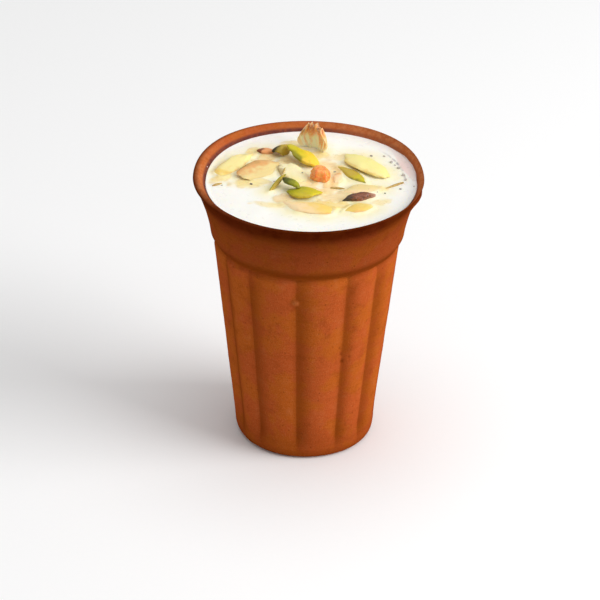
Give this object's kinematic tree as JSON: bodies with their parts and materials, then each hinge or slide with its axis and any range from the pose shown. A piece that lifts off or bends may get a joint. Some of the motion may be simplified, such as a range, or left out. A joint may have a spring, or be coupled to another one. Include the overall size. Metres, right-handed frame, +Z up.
{
  "type": "clay cup of lassi",
  "caption": "Fluted terracotta cup with a flared collar, filled with lassi to just under the rim and topped with almond and pistachio slices, raisin, cream and candied fruit.",
  "frame": {"origin": "centre of the foot, on the surface it stands on", "axes": "+Z up along the cup's axis, +X to the drinker's right, +Y away from the drinker"},
  "size_m": [0.0859, 0.0869, 0.1162],
  "materials": {
    "terracotta": "unglazed, matt, turned and pressed",
    "lassi": "smooth, wet",
    "almond_slice": "dry, fine grained",
    "tan_flake": "dry, fibrous",
    "orange_sliver": "dry",
    "pistachio_skin": "dry, skinned",
    "pistachio": "dry, fine grained",
    "clotted_cream": "ridged, waxy",
    "candied_fruit": "moist, glossy",
    "pale_almond": "dry, fine grained",
    "peach_flake": "moist, speckled",
    "raisin": "wrinkled, dull"
  },
  "bodies": {
    "root": {"clay_cup": "terracotta", "lassi": "lassi", "almond_slice_left": "almond_slice", "tan_flake_left": "tan_flake", "orange_sliver": "orange_sliver", "dark_pistachio_curl": "pistachio_skin", "long_pistachio_slice": "pistachio", "cream_shard": "clotted_cream", "candied_orange_piece": "candied_fruit", "cream_flake_centre": "pale_almond", "dark_green_slice": "pistachio_skin", "front_pistachio_slice": "pistachio", "green_sliver": "pistachio", "almond_slice_right": "almond_slice", "right_pistachio_slice": "pistachio", "peach_flake_middle": "peach_flake", "peach_flake_right": "peach_flake", "raisin": "raisin", "front_yellow_flake": "almond_slice", "front_right_yellow_flake": "almond_slice"}
  },
  "joints": []
}
